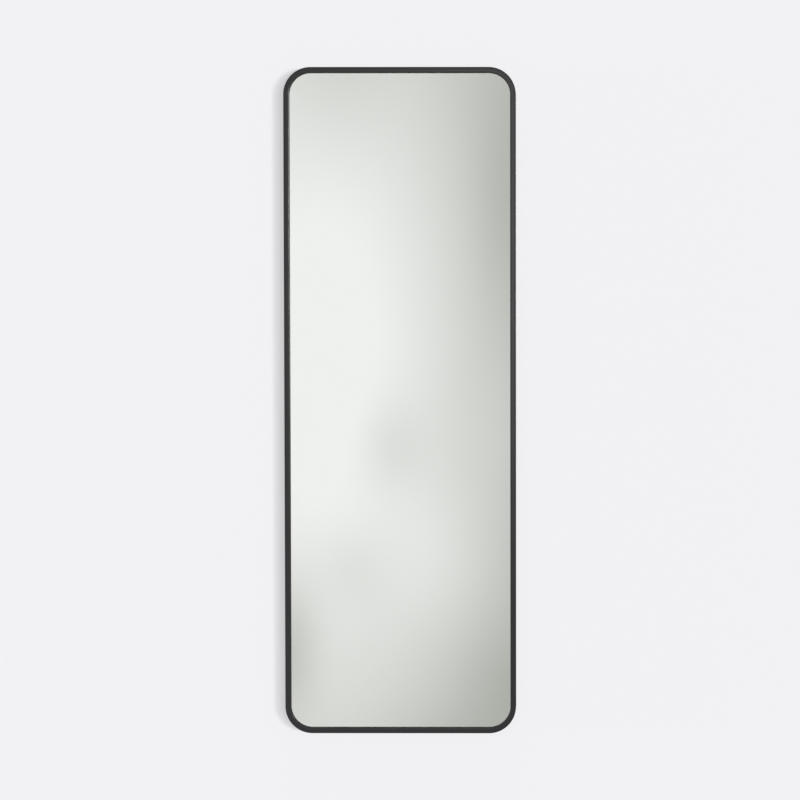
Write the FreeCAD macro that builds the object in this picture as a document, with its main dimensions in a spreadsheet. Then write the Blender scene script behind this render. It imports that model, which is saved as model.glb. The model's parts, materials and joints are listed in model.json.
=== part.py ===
import FreeCAD, Part
import math
import os
import Sketcher

# Full-length wall mirror in a thin black metal frame with rounded corners.
# +Z is up, +X is to the right as the viewer sees it, and +Y points at the wall.
# The origin is the middle of the mirror on the wall, where the rubber bumpers rest.
# Depths are measured from the front face of the rail towards the wall, insets from the
# outside of the rail towards the middle of the mirror. All lengths are in millimetres.

SIZES = [
    ("frame_width", 556, "outside width of the frame"),
    ("frame_height", 1600, "outside height of the frame"),
    ("corner_radius", 65, "outside radius of the bent corners"),
    ("seam_gap", 0.2, "hairline between the two ends of the bent rail"),
    ("face_width", 13.5, "width of the rail seen from the front"),
    ("lip_thickness", 3.6, "front lip of the rail"),
    ("rail_wall", 1.6, "side wall of the rail"),
    ("inner_edge_radius", 3.2, "rounded edge of the lip beside the glass"),
    ("outer_edge_radius", 0.4, "front outer edge of the rail"),
    ("rib_thickness", 1.4, "each of the two ribs that form the rear channel"),
    ("channel_width", 6, "clear width between the ribs"),
    ("channel_depth", 3.6, "from the channel floor to its lips"),
    ("channel_lip_thickness", 1.2, "the two lips along the mouth of the channel"),
    ("channel_lip_reach", 1.2, "how far each lip narrows the mouth"),
    ("package_clearance", 0.6, "between the ribs and the glass and board"),
    ("gasket_thickness", 0.8, "foam seal under the lip"),
    ("gasket_width", 4, "foam seal under the lip"),
    ("gasket_setback", 1.6, "from the sight edge to the seal"),
    ("glass_thickness", 4, "mirror glass"),
    ("glass_arris", 0.5, "ground edges of the glass"),
    ("silver_thickness", 0.3, "silver, paint and safety film together"),
    ("tape_thickness", 1, "foam mounting tape"),
    ("tape_width", 25, "foam mounting tape"),
    ("tape_end_margin", 90, "from the end of the glass to the end of the tape"),
    ("tape_outer_share", 0.72, "outer strips, as a share of half the glass width"),
    ("tape_inner_share", 0.24, "inner strips, as a share of half the glass width"),
    ("board_thickness", 9, "fibreboard back"),
    ("block_length", 60, "rubber setting block"),
    ("block_clearance", 0.2, "between the setting block and the front lip"),
    ("block_place_share", 0.25, "setting blocks, as a share of the frame width"),
    ("splice_length", 110, "bar across the seam"),
    ("splice_thickness", 2.8, "bar across the seam"),
    ("splice_clearance", 0.1, "between the bar and the ribs"),
    ("splice_screw_diameter", 4, "grub screw"),
    ("splice_screw_clearance", 0.05, "around the grub screw"),
    ("splice_screw_relief", 0.2, "from the top of the grub screw to the face of the bar"),
    ("splice_screw_socket", 2, "across the flats of the hexagon socket"),
    ("splice_screw_socket_depth", 1.6, "depth of the hexagon socket"),
    ("splice_outer_share", 0.38, "outer grub screws, as a share of the bar"),
    ("splice_inner_share", 0.14, "inner grub screws, as a share of the bar"),
    ("button_thickness", 1.2, "sheet of a turn button"),
    ("button_play", 0.1, "between a turn button and the rib or the screw head"),
    ("button_width", 12, "turn button"),
    ("button_corner_radius", 5, "rounded nose of a turn button"),
    ("button_grip", 3.2, "how far the nose reaches under the rib"),
    ("button_pivot_inset", 14, "from the edge of the board to the pivot screw"),
    ("button_tail", 7, "from the pivot to the turned-up tail"),
    ("button_tab_height", 5, "height of the turned-up tail"),
    ("button_tab_width", 9, "width of the turned-up tail"),
    ("button_bend_radius", 0.9, "outside of the bend at the tail"),
    ("button_outer_share", 0.375, "outer buttons, as a share of the frame height"),
    ("button_inner_share", 0.125, "inner buttons, as a share of the frame height"),
    ("pivot_clearance", 0.08, "between a turn button and its pivot screw"),
    ("screw_diameter", 3.5, "shank of the wood screws"),
    ("screw_bite", 7, "length of a screw in the board"),
    ("screw_head_diameter", 7, "pan head"),
    ("screw_head_height", 2.2, "pan head"),
    ("pilot_clearance", 0.05, "between a screw and its hole in the board"),
    ("pilot_relief", 0.5, "hole left under the tip of a screw"),
    ("hanger_side_inset", 88, "from the side of the frame to a hanger"),
    ("hanger_top_drop", 200, "from the top of the frame to the bar of a ring"),
    ("strap_sheet", 0.8, "steel sheet of the hanger strap"),
    ("strap_width", 14, "hanger strap"),
    ("strap_length", 42, "from the bar of the ring to the end of the strap"),
    ("strap_neck", 8, "from the bar of the ring to where the folded leaves meet"),
    ("strap_end_radius", 6, "rounded end of the strap"),
    ("strap_first_hole", 23, "from the bar of the ring"),
    ("strap_hole_spacing", 12, "between the two screw holes"),
    ("strap_hole_clearance", 0.25, "between the strap and its screws"),
    ("ring_wire", 3, "wire of the D-ring"),
    ("ring_inner_width", 18, "clear width of the D-ring"),
    ("ring_height", 15, "from the bar to the top of the ring, between wire centres"),
    ("ring_corner_radius", 3, "bend beside the bar, at the wire centre"),
    ("ring_bend_radius", 9.5, "bend at the top, at the wire centre"),
    ("eye_clearance", 0.06, "between the bar and the eye of the strap"),
    ("bumper_thickness", 1.5, "rubber bumper behind the rail"),
    ("bumper_width", 5, "rubber bumper"),
    ("bumper_length", 30, "rubber bumper"),
    ("bumper_corner_radius", 2.2, "rounded ends of a bumper"),
    ("bumper_drop", 140, "from the top or bottom of the frame to a bumper"),
]

doc = FreeCAD.newDocument("wall_mirror")
sizes = doc.addObject("Spreadsheet::Sheet", "sizes")
for row, (alias, number, note) in enumerate(SIZES, 1):
    sizes.set(f"A{row}", alias)
    sizes.set(f"B{row}", str(number))
    sizes.set(f"C{row}", note)
    sizes.setAlias(f"B{row}", alias)
doc.recompute()

# Depths of the layers, from the front face of the rail
GLASS_FRONT = "(sizes.lip_thickness + sizes.gasket_thickness)"
GLASS_BACK = f"({GLASS_FRONT} + sizes.glass_thickness)"
TAPE_FRONT = f"({GLASS_BACK} + sizes.silver_thickness)"
BOARD_FRONT = f"({TAPE_FRONT} + sizes.tape_thickness)"
BOARD_BACK = f"({BOARD_FRONT} + sizes.board_thickness)"
RIB_FRONT = f"({BOARD_BACK} + sizes.button_thickness + sizes.button_play)"
RIB_BACK = f"({RIB_FRONT} + sizes.rib_thickness)"
FLANGE_FRONT = f"({RIB_BACK} + sizes.channel_width)"
RAIL_DEPTH = f"({FLANGE_FRONT} + sizes.rib_thickness)"
WALL = f"({RAIL_DEPTH} + sizes.bumper_thickness)"

# Insets from the outside of the rail
CHANNEL_MOUTH = "(sizes.rail_wall + sizes.channel_depth)"
RIB_END = f"({CHANNEL_MOUTH} + sizes.channel_lip_thickness)"
PACKAGE_INSET = f"({RIB_END} + sizes.package_clearance)"

HALF_WIDTH = "(sizes.frame_width / 2)"
HALF_HEIGHT = "(sizes.frame_height / 2)"
PACKAGE_HALF_WIDTH = f"({HALF_WIDTH} - {PACKAGE_INSET})"
PACKAGE_HALF_HEIGHT = f"({HALF_HEIGHT} - {PACKAGE_INSET})"
EYE_RADIUS = "(sizes.ring_wire / 2 + sizes.eye_clearance + sizes.strap_sheet)"

# How a sketch numbers its own axes and the points of a line or an arc
X_AXIS_LINE = -1
Y_AXIS_LINE = -2
ORIGIN_POINT = (X_AXIS_LINE, 1)
START = 1
END = 2
CENTRE = 3
FLAT = 1e-6


def measure(expression):
    """The present value of an expression on the sheet."""
    return float(sizes.evalExpression(expression))


def depth(expression):
    """The Y place of a depth that is measured from the front face of the rail."""
    return f"{expression} - {WALL}"


def new_body(label):
    body = doc.addObject("PartDesign::Body", label)
    body.Label = label
    return body


def new_sketch(body, role, name, offset="0"):
    """A sketch on one of the body's own origin planes, or parallel to it."""
    sketch = body.newObject("Sketcher::SketchObject", name)
    planes = [plane for plane in body.Origin.OriginFeatures if plane.Role == role]
    sketch.AttachmentSupport = [(planes[0], "")]
    sketch.MapMode = "FlatFace"
    sketch.setExpression("AttachmentOffset.Base.z", offset)
    return sketch


def bind(sketch, constraint, expression):
    index = sketch.addConstraint(constraint)
    sketch.setExpression(f"Constraints[{index}]", expression)


def fix(sketch, geometry, point, axis, expression):
    """Ties the x or y of a sketch point to an expression."""
    if expression == "0":
        axis_line = Y_AXIS_LINE if axis == "x" else X_AXIS_LINE
        sketch.addConstraint(Sketcher.Constraint("PointOnObject", geometry, point, axis_line))
        return
    kind = "DistanceX" if axis == "x" else "DistanceY"
    place = measure(expression)
    if place > 0:
        constraint = Sketcher.Constraint(kind, *ORIGIN_POINT, geometry, point, place)
        bind(sketch, constraint, expression)
    else:
        constraint = Sketcher.Constraint(kind, geometry, point, *ORIGIN_POINT, -place)
        bind(sketch, constraint, f"-({expression})")


def corner_arc(sketch, corner, before, after, radius):
    """An arc that rounds a corner between two directions, and its first and last point."""
    centre = corner + (after - before) * radius
    first = math.atan2(-after.y, -after.x)
    last = math.atan2(before.y, before.x)
    left_turn = before.cross(after).z > 0
    begin, end = (first, last) if left_turn else (last, first)
    circle = Part.Circle(centre, FreeCAD.Vector(0, 0, 1), radius)
    arc = sketch.addGeometry(Part.ArcOfCircle(circle, begin, end))
    return (arc, START, END) if left_turn else (arc, END, START)


def outline(sketch, sides, rounds=None, ends=None):
    """Lines that run square to each other: each side is "x" or "y" and its place.

    rounds gives the radius of the corner after a side. The outline is closed, unless ends gives
    the places where the first side starts and the last side stops.
    """
    rounds = rounds or {}
    count = len(sides)
    places = [measure(place) for _, place in sides]

    def corner(index):
        here, there = places[index % count], places[(index + 1) % count]
        on_x = sides[index % count][0] == "x"
        return FreeCAD.Vector(here, there, 0) if on_x else FreeCAD.Vector(there, here, 0)

    def end_point(index, place):
        on_x = sides[index][0] == "x"
        along = measure(place)
        if on_x:
            return FreeCAD.Vector(places[index], along, 0)
        return FreeCAD.Vector(along, places[index], 0)

    starts = [corner(index - 1) for index in range(count)]
    stops = [corner(index) for index in range(count)]
    if ends:
        starts[0] = end_point(0, ends[0])
        stops[-1] = end_point(count - 1, ends[1])
    directions = [(stop - start).normalize() for start, stop in zip(starts, stops)]

    lines = []
    for index, (axis, place) in enumerate(sides):
        start, stop, along = starts[index], stops[index], directions[index]
        before = (index - 1) % count
        if before in rounds and not (ends and index == 0):
            start = start + along * measure(rounds[before])
        if index in rounds:
            stop = stop - along * measure(rounds[index])
        line = sketch.addGeometry(Part.LineSegment(start, stop))
        upright = "Vertical" if axis == "x" else "Horizontal"
        sketch.addConstraint(Sketcher.Constraint(upright, line))
        fix(sketch, line, START, axis, place)
        lines.append(line)

    for index in range(count - 1 if ends else count):
        line, following = lines[index], lines[(index + 1) % count]
        if index not in rounds:
            sketch.addConstraint(Sketcher.Constraint("Coincident", line, END, following, START))
            continue
        turn = directions[index], directions[(index + 1) % count]
        arc, first, last = corner_arc(sketch, stops[index], *turn, measure(rounds[index]))
        sketch.addConstraint(Sketcher.Constraint("Tangent", line, END, arc, first))
        sketch.addConstraint(Sketcher.Constraint("Tangent", arc, last, following, START))
        bind(sketch, Sketcher.Constraint("Radius", arc, measure(rounds[index])), rounds[index])

    if ends:
        across = {"x": "y", "y": "x"}
        fix(sketch, lines[0], START, across[sides[0][0]], ends[0])
        fix(sketch, lines[-1], END, across[sides[-1][0]], ends[1])


def rectangle(sketch, half_width, half_height, radius=None):
    sides = [("x", half_width), ("y", half_height), ("x", f"-{half_width}"), ("y", f"-{half_height}")]
    outline(sketch, sides, {corner: radius for corner in range(len(sides))} if radius else None)


def circle(sketch, x, y, radius):
    middle = FreeCAD.Vector(measure(x), measure(y), 0)
    ring = sketch.addGeometry(Part.Circle(middle, FreeCAD.Vector(0, 0, 1), measure(radius)))
    fix(sketch, ring, CENTRE, "x", x)
    fix(sketch, ring, CENTRE, "y", y)
    bind(sketch, Sketcher.Constraint("Radius", ring, measure(radius)), radius)


def pad(body, sketch, length, towards_wall=True):
    """Thickens a sketch that faces the viewer, towards the wall or to both sides alike."""
    feature = body.newObject("PartDesign::Pad", "pad")
    feature.Profile = sketch
    feature.setExpression("Length", length)
    if towards_wall:
        feature.Reversed = True
    else:
        feature.SideType = "Symmetric"
    doc.recompute()
    return feature


def cut_through(body, sketch):
    feature = body.newObject("PartDesign::Pocket", "through_cut")
    feature.Profile = sketch
    feature.Type = "ThroughAll"
    feature.SideType = "Symmetric"
    doc.recompute()
    return feature


def spin(body, sketch):
    feature = body.newObject("PartDesign::Revolution", "turned")
    feature.Profile = sketch
    feature.ReferenceAxis = (sketch, ["V_Axis"])
    doc.recompute()
    return feature


def sweep(body, section, path):
    feature = body.newObject("PartDesign::AdditivePipe", "bent")
    feature.Profile = section
    feature.Spine = path
    feature.Mode = "Frenet"
    doc.recompute()
    return feature


def ease(body, kind, feature, radius, wanted):
    """Rounds or chamfers the edges of a feature that the test picks out."""
    edges = feature.Shape.Edges
    names = [f"Edge{number}" for number, edge in enumerate(edges, 1) if wanted(edge)]
    eased = body.newObject(f"PartDesign::{kind}", "eased")
    eased.Base = (feature, names)
    eased.setExpression("Radius" if kind == "Fillet" else "Size", radius)
    doc.recompute()
    return eased


def at_depth(place):
    """A test for edges that lie flat at one depth of a body."""
    def lies_there(edge):
        box = edge.BoundBox
        return abs(box.YMin - place) < FLAT and abs(box.YMax - place) < FLAT
    return lies_there


def place(thing, x="0", y="0", z="0", turn=0):
    """Puts a piece in the mirror, turned by some degrees about the wall's normal."""
    upright = FreeCAD.Rotation(FreeCAD.Vector(0, 1, 0), turn)
    thing.Placement = FreeCAD.Placement(FreeCAD.Vector(), upright)
    thing.setExpression("Placement.Base.x", x)
    thing.setExpression("Placement.Base.y", y)
    thing.setExpression("Placement.Base.z", z)


def group(label, piece, places):
    """Copies of one piece, kept together under one name."""
    copies = []
    for number, spot in enumerate(places, 1):
        copy = doc.addObject("App::Link", f"{label}_{number}")
        copy.LinkedObject = piece
        place(copy, *spot)
        copies.append(copy)
    together = doc.addObject("Part::Compound", label)
    together.Label = label
    together.Links = copies
    doc.recompute()
    return together


# Rail: one extruded length, bent round the four corners, open at the seam below
def frame_rail():
    body = new_body("frame_rail")
    path = new_sketch(body, "XZ_Plane", "rail_path")
    loop = [
        ("y", f"-{HALF_HEIGHT}"),
        ("x", HALF_WIDTH),
        ("y", HALF_HEIGHT),
        ("x", f"-{HALF_WIDTH}"),
        ("y", f"-{HALF_HEIGHT}"),
    ]
    corners = {corner: "sizes.corner_radius" for corner in range(len(loop) - 1)}
    outline(path, loop, corners, ends=("(sizes.seam_gap / 2)", "-(sizes.seam_gap / 2)"))

    def inset(expression):
        return f"({expression} - {HALF_HEIGHT})"

    section = new_sketch(body, "YZ_Plane", "rail_section", "sizes.seam_gap / 2")
    sides = [
        ("x", "0"),
        ("y", inset("sizes.face_width")),
        ("x", "sizes.lip_thickness"),
        ("y", inset("sizes.rail_wall")),
        ("x", RIB_FRONT),
        ("y", inset(RIB_END)),
        ("x", f"({RIB_BACK} + sizes.channel_lip_reach)"),
        ("y", inset(CHANNEL_MOUTH)),
        ("x", RIB_BACK),
        ("y", inset("sizes.rail_wall")),
        ("x", FLANGE_FRONT),
        ("y", inset(CHANNEL_MOUTH)),
        ("x", f"({FLANGE_FRONT} - sizes.channel_lip_reach)"),
        ("y", inset(RIB_END)),
        ("x", RAIL_DEPTH),
        ("y", f"-{HALF_HEIGHT}"),
    ]
    rounds = {
        0: "sizes.inner_edge_radius",
        len(sides) - 1: "sizes.outer_edge_radius",
    }
    outline(section, sides, rounds)
    sweep(body, section, path)
    place(body, y=depth("0"))
    return body


# Splice: a bar in the rear channel across the seam, clamped against the channel's lips
SPLICE_WIDTH = "(sizes.channel_width - 2 * sizes.splice_clearance)"
SPLICE_DEPTH = f"({RIB_BACK} + sizes.channel_width / 2)"
SPLICE_TOP = f"({CHANNEL_MOUTH} - {HALF_HEIGHT})"
SPLICE_SCREW_LENGTH = "(sizes.channel_depth - sizes.splice_screw_relief)"


def splice_screw_places():
    reach = "sizes.splice_length * sizes.splice"
    return [f"{sign}{reach}_{row}_share" for sign in ("-", "") for row in ("outer", "inner")]


def splice_bar():
    body = new_body("splice_bar")
    bar = new_sketch(body, "XY_Plane", "bar_outline")
    rectangle(bar, "(sizes.splice_length / 2)", f"({SPLICE_WIDTH} / 2)")
    feature = body.newObject("PartDesign::Pad", "bar")
    feature.Profile = bar
    feature.setExpression("Length", "sizes.splice_thickness")
    feature.Reversed = True
    doc.recompute()
    holes = new_sketch(body, "XY_Plane", "screw_holes")
    for x in splice_screw_places():
        circle(holes, x, "0", "sizes.splice_screw_diameter / 2 + sizes.splice_screw_clearance")
    cut_through(body, holes)
    place(body, y=depth(SPLICE_DEPTH), z=SPLICE_TOP)
    return body


def splice_screws():
    screw = new_body("splice_screw")
    shank = new_sketch(screw, "XZ_Plane", "shank")
    radius = "(sizes.splice_screw_diameter / 2)"
    outline(shank, [("x", "0"), ("y", f"-{SPLICE_SCREW_LENGTH}"), ("x", radius), ("y", "0")])
    spin(screw, shank)
    socket = new_sketch(screw, "XY_Plane", "hexagon_socket")
    hexagon(socket, "sizes.splice_screw_socket / 2")
    pocket = screw.newObject("PartDesign::Pocket", "socket")
    pocket.Profile = socket
    pocket.setExpression("Length", "sizes.splice_screw_socket_depth")
    doc.recompute()
    y = depth(SPLICE_DEPTH)
    z = f"{SPLICE_TOP} - sizes.splice_screw_relief"
    return group("splice_screws", screw, [(x, y, z) for x in splice_screw_places()])


def hexagon(sketch, flat_radius):
    """A hexagon about the origin, by the distance from its middle to its flats."""
    side_count = 6
    reach = measure(flat_radius) / math.cos(math.pi / side_count)
    angles = [2 * math.pi * side / side_count for side in range(side_count)]
    points = [FreeCAD.Vector(math.cos(a), math.sin(a), 0) * reach for a in angles]
    lines = []
    for start, stop in zip(points, points[1:] + points[:1]):
        lines.append(sketch.addGeometry(Part.LineSegment(start, stop)))
    round_guide = Part.Circle(FreeCAD.Vector(), FreeCAD.Vector(0, 0, 1), measure(flat_radius))
    guide = sketch.addGeometry(round_guide, True)
    sketch.addConstraint(Sketcher.Constraint("Coincident", guide, CENTRE, *ORIGIN_POINT))
    bind(sketch, Sketcher.Constraint("Radius", guide, measure(flat_radius)), flat_radius)
    for line, following in zip(lines, lines[1:] + lines[:1]):
        sketch.addConstraint(Sketcher.Constraint("Coincident", line, END, following, START))
        sketch.addConstraint(Sketcher.Constraint("Tangent", line, guide))
    for line in lines[1:]:
        sketch.addConstraint(Sketcher.Constraint("Equal", lines[0], line))
    sketch.addConstraint(Sketcher.Constraint("PointOnObject", lines[0], START, X_AXIS_LINE))


# Glass package: seal, glass, silver, tape and board, one behind the other
def package_outline(sketch):
    rectangle(sketch, PACKAGE_HALF_WIDTH, PACKAGE_HALF_HEIGHT, f"(sizes.corner_radius - {PACKAGE_INSET})")


def lip_gasket():
    body = new_body("lip_gasket")
    ring = new_sketch(body, "XZ_Plane", "seal")
    inner = "(sizes.face_width - sizes.gasket_setback)"
    outer = f"({inner} - sizes.gasket_width)"
    for inset in (outer, inner):
        half_width = f"({HALF_WIDTH} - {inset})"
        half_height = f"({HALF_HEIGHT} - {inset})"
        rectangle(ring, half_width, half_height, f"(sizes.corner_radius - {inset})")
    pad(body, ring, "sizes.gasket_thickness")
    place(body, y=depth("sizes.lip_thickness"))
    return body


def mirror_glass():
    body = new_body("mirror_glass")
    sheet = new_sketch(body, "XZ_Plane", "sheet")
    package_outline(sheet)
    slab = pad(body, sheet, "sizes.glass_thickness")
    front, back = at_depth(0), at_depth(measure("sizes.glass_thickness"))
    ease(body, "Chamfer", slab, "sizes.glass_arris", lambda edge: front(edge) or back(edge))
    place(body, y=depth(GLASS_FRONT))
    return body


def silver_backing():
    body = new_body("silver_backing")
    sheet = new_sketch(body, "XZ_Plane", "film")
    inset = f"({PACKAGE_INSET} + sizes.glass_arris)"
    half_width = f"({HALF_WIDTH} - {inset})"
    half_height = f"({HALF_HEIGHT} - {inset})"
    rectangle(sheet, half_width, half_height, f"(sizes.corner_radius - {inset})")
    pad(body, sheet, "sizes.silver_thickness")
    place(body, y=depth(GLASS_BACK))
    return body


def mounting_tape():
    strip = new_body("tape_strip")
    sheet = new_sketch(strip, "XZ_Plane", "strip")
    rectangle(sheet, "(sizes.tape_width / 2)", f"({PACKAGE_HALF_HEIGHT} - sizes.tape_end_margin)")
    pad(strip, sheet, "sizes.tape_thickness")
    rows = [f"{sign}{PACKAGE_HALF_WIDTH} * sizes.tape_{row}_share"
            for sign in ("-", "") for row in ("outer", "inner")]
    return group("mounting_tape", strip, [(x, depth(TAPE_FRONT), "0") for x in rows])


# Places of the turn buttons: four along each side, one above and one below
BUTTON_X = f"({PACKAGE_HALF_WIDTH} - sizes.button_pivot_inset)"
BUTTON_Z = f"({PACKAGE_HALF_HEIGHT} - sizes.button_pivot_inset)"
BUTTON_ROWS = [
    ("top", "sizes.frame_height * sizes.button_outer_share"),
    ("upper", "sizes.frame_height * sizes.button_inner_share"),
    ("lower", "-sizes.frame_height * sizes.button_inner_share"),
    ("bottom", "-sizes.frame_height * sizes.button_outer_share"),
]
BUTTONS = [("top_rail", "0", BUTTON_Z, -90), ("bottom_rail", "0", f"-{BUTTON_Z}", 90)]
for row_name, row_z in BUTTON_ROWS:
    BUTTONS.append((f"left_{row_name}", f"-{BUTTON_X}", row_z, 180))
    BUTTONS.append((f"right_{row_name}", BUTTON_X, row_z, 0))

# Places of the hangers, at the bars of their rings
HANGER_X = f"({HALF_WIDTH} - sizes.hanger_side_inset)"
HANGER_Z = f"({HALF_HEIGHT} - sizes.hanger_top_drop)"
HANGERS = [("left", f"-{HANGER_X}"), ("right", HANGER_X)]
HANGER_HOLES = [
    "sizes.strap_first_hole",
    "(sizes.strap_first_hole + sizes.strap_hole_spacing)",
]


def hanger_screw_places():
    return [(x, f"({HANGER_Z} - {hole})") for _, x in HANGERS for hole in HANGER_HOLES]


def backing_board():
    body = new_body("backing_board")
    sheet = new_sketch(body, "XZ_Plane", "board")
    package_outline(sheet)
    pad(body, sheet, "sizes.board_thickness")
    holes = new_sketch(body, "XZ_Plane", "pilot_holes", "-sizes.board_thickness")
    spots = [(x, z) for _, x, z, _ in BUTTONS] + hanger_screw_places()
    for x, z in spots:
        circle(holes, x, z, "sizes.screw_diameter / 2 + sizes.pilot_clearance")
    pocket = body.newObject("PartDesign::Pocket", "pilot_holes")
    pocket.Profile = holes
    pocket.setExpression("Length", "sizes.screw_bite + sizes.pilot_relief")
    pocket.Reversed = True
    doc.recompute()
    place(body, y=depth(BOARD_FRONT))
    return body


# Rubber blocks that carry the weight of the package in the bottom rail
def setting_block(side, x):
    body = new_body(f"setting_block_{side}")
    block = new_sketch(body, "XZ_Plane", "block")
    rectangle(block, "(sizes.block_length / 2)", f"(({PACKAGE_INSET} - sizes.rail_wall) / 2)")
    front = "(sizes.lip_thickness + sizes.block_clearance)"
    pad(body, block, f"{BOARD_BACK} - {front}")
    middle = f"(({PACKAGE_INSET} + sizes.rail_wall) / 2 - {HALF_HEIGHT})"
    place(body, x=x, y=depth(front), z=middle)
    return body


# Wood screw with a pan head, its seat at the origin and its tip towards the glass
def wood_screw(label, grip):
    body = new_body(label)
    half = new_sketch(body, "XY_Plane", "half_section")
    sides = [
        ("x", "0"),
        ("y", f"-({grip} + sizes.screw_bite)"),
        ("x", "(sizes.screw_diameter / 2)"),
        ("y", "0"),
        ("x", "(sizes.screw_head_diameter / 2)"),
        ("y", "sizes.screw_head_height"),
    ]
    outline(half, sides)
    spin(body, half)
    return body


# Turn button: a steel plate with its nose under the rail's rib and its tail turned up
def turn_button(name, x, z, turn):
    body = new_body(f"turn_button_{name}")
    nose = "(sizes.button_pivot_inset + sizes.package_clearance + sizes.button_grip)"
    half_width = "(sizes.button_width / 2)"
    plate = new_sketch(body, "XZ_Plane", "plate")
    sides = [
        ("x", nose),
        ("y", half_width),
        ("x", "-sizes.button_tail"),
        ("y", f"-{half_width}"),
    ]
    outline(plate, sides, {0: "sizes.button_corner_radius", 3: "sizes.button_corner_radius"})
    pad(body, plate, "sizes.button_thickness")
    tab = new_sketch(body, "XZ_Plane", "tab")
    half_tab = "(sizes.button_tab_width / 2)"
    sides = [
        ("x", "(sizes.button_thickness - sizes.button_tail)"),
        ("y", half_tab),
        ("x", "-sizes.button_tail"),
        ("y", f"-{half_tab}"),
    ]
    outline(tab, sides)
    pad(body, tab, "sizes.button_tab_height")
    hole = new_sketch(body, "XZ_Plane", "pivot_hole")
    circle(hole, "0", "0", "sizes.screw_diameter / 2 + sizes.pivot_clearance")
    drilled = cut_through(body, hole)
    tail = -measure("sizes.button_tail")

    def at_tail(edge):
        box = edge.BoundBox
        return at_depth(0)(edge) and abs(box.XMin - tail) < FLAT and abs(box.XMax - tail) < FLAT

    ease(body, "Fillet", drilled, "sizes.button_bend_radius", at_tail)
    place(body, x=x, y=depth(BOARD_BACK), z=z, turn=turn)
    return body


def button_screws():
    screw = wood_screw("button_screw", "(sizes.button_thickness + sizes.button_play)")
    return group("button_screws", screw, [(x, depth(RIB_FRONT), z) for _, x, z, _ in BUTTONS])


# Hanger strap: a steel strip folded round the bar of the ring, both leaves screwed to the board
BAR_DEPTH = f"({BOARD_BACK} + {EYE_RADIUS})"


def strap_section(sketch):
    """The folded strip from the side: a tear-shaped eye and two leaves that lie together."""
    eye, sheet = measure(EYE_RADIUS), measure("sizes.strap_sheet")
    neck, length = -measure("sizes.strap_neck"), -measure("sizes.strap_length")
    meeting = FreeCAD.Vector(2 * sheet - eye, neck, 0)
    angle = math.atan2(meeting.y, meeting.x) + math.acos(eye / meeting.Length)
    towards = FreeCAD.Vector(math.cos(angle), math.sin(angle), 0)
    slope = FreeCAD.Vector(towards.y, -towards.x, 0)
    inside = eye - sheet
    run = (inside * towards.x + inside) / -slope.x
    fork = towards * inside + slope * run

    def line(start, stop):
        return sketch.addGeometry(Part.LineSegment(start, stop))

    def arc(radius):
        whole = Part.Circle(FreeCAD.Vector(), FreeCAD.Vector(0, 0, 1), radius)
        bend = sketch.addGeometry(Part.ArcOfCircle(whole, angle, math.pi))
        sketch.addConstraint(Sketcher.Constraint("Coincident", bend, CENTRE, *ORIGIN_POINT))
        return bend

    lower = line(FreeCAD.Vector(-eye, length, 0), FreeCAD.Vector(-eye, 0, 0))
    outer = arc(eye)
    sloping = line(towards * eye, meeting)
    upper = line(meeting, FreeCAD.Vector(meeting.x, length, 0))
    end = line(FreeCAD.Vector(meeting.x, length, 0), FreeCAD.Vector(-eye, length, 0))
    inner_lower = line(fork, FreeCAD.Vector(-inside, 0, 0))
    inner = arc(inside)
    inner_sloping = line(towards * inside, fork)

    for upright in (lower, upper, inner_lower):
        sketch.addConstraint(Sketcher.Constraint("Vertical", upright))
    sketch.addConstraint(Sketcher.Constraint("Horizontal", end))
    tangents = [
        (lower, END, outer, END),
        (outer, START, sloping, START),
        (inner_lower, END, inner, END),
        (inner, START, inner_sloping, START),
    ]
    for pair in tangents:
        sketch.addConstraint(Sketcher.Constraint("Tangent", *pair))
    meetings = [
        (sloping, END, upper, START),
        (upper, END, end, START),
        (end, END, lower, START),
        (inner_sloping, END, inner_lower, START),
    ]
    for pair in meetings:
        sketch.addConstraint(Sketcher.Constraint("Coincident", *pair))
    bind(sketch, Sketcher.Constraint("Radius", outer, eye), EYE_RADIUS)
    bind(sketch, Sketcher.Constraint("Radius", inner, inside), f"{EYE_RADIUS} - sizes.strap_sheet")
    fix(sketch, end, START, "x", f"(2 * sizes.strap_sheet - {EYE_RADIUS})")
    fix(sketch, end, START, "y", "-sizes.strap_length")
    fix(sketch, upper, START, "y", "-sizes.strap_neck")
    sketch.addConstraint(Sketcher.Constraint("Parallel", sloping, inner_sloping))


def hanger_strap(side, x):
    body = new_body(f"hanger_strap_{side}")
    section = new_sketch(body, "YZ_Plane", "folded_strip")
    strap_section(section)
    folded = pad(body, section, "sizes.strap_width", towards_wall=False)
    foot = -measure("sizes.strap_length")
    half_width = measure("sizes.strap_width") / 2

    def at_end_corner(edge):
        box = edge.BoundBox
        low = abs(box.ZMin - foot) < FLAT and abs(box.ZMax - foot) < FLAT
        return low and box.XLength < FLAT and abs(abs(box.XMin) - half_width) < FLAT

    ease(body, "Fillet", folded, "sizes.strap_end_radius", at_end_corner)
    holes = new_sketch(body, "XZ_Plane", "screw_holes")
    for hole in HANGER_HOLES:
        circle(holes, "0", f"-{hole}", "sizes.screw_diameter / 2 + sizes.strap_hole_clearance")
    cut_through(body, holes)
    place(body, x=x, y=depth(BAR_DEPTH), z=HANGER_Z)
    return body


def hanger_screws():
    leaves = "(2 * sizes.strap_sheet)"
    screw = wood_screw("hanger_screw", leaves)
    seat = depth(f"({BOARD_BACK} + {leaves})")
    return group("hanger_screws", screw, [(x, seat, z) for x, z in hanger_screw_places()])


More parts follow.
